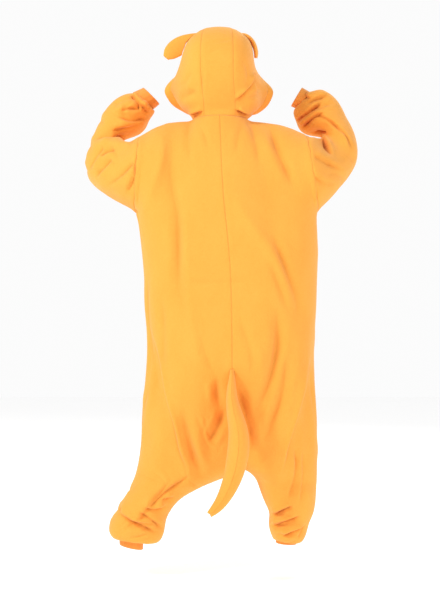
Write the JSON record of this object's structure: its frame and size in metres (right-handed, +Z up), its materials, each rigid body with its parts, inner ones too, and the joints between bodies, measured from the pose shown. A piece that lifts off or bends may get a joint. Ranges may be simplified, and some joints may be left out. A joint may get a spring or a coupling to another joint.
{
  "type": "kangaroo costume",
  "caption": "Roomy hooded fleece onesie in a kangaroo's shape, with floppy ears and a stuffed tail, hollow, standing astride with both sleeves raised",
  "frame": {"origin": "the middle of the neck opening, at the height of the neck seam at the back, where the wearer's shoulders carry the costume", "axes": "+Z up along the body, +Y the way the wearer faces, +X to the wearer's right"},
  "size_m": [0.8936, 0.523, 1.6632],
  "materials": {
    "fleece": "brushed orange-yellow fleece with a short soft nap",
    "ribbed_cuff": "stretch rib knit in a slightly deeper orange",
    "button": "moulded plastic, orange"
  },
  "bodies": {
    "root": {"body_back_left": "fleece", "body_front_left": "fleece", "leg_cuff_left": "ribbed_cuff", "sleeve_left": "fleece", "sleeve_cuff_left": "ribbed_cuff", "body_back_right": "fleece", "body_front_right": "fleece", "leg_cuff_right": "ribbed_cuff", "sleeve_right": "fleece", "sleeve_cuff_right": "ribbed_cuff", "hood_side_left": "fleece", "hood_side_right": "fleece", "hood_centre_strip": "fleece", "hood_edge_band": "fleece", "ear_left_outer": "fleece", "ear_left_inner": "fleece", "ear_right_outer": "fleece", "ear_right_inner": "fleece", "tail_half_right": "fleece", "tail_half_left": "fleece", "front_placket": "fleece", "button_1": "button", "button_2": "button", "button_3": "button", "button_4": "button", "button_5": "button"}
  },
  "joints": []
}
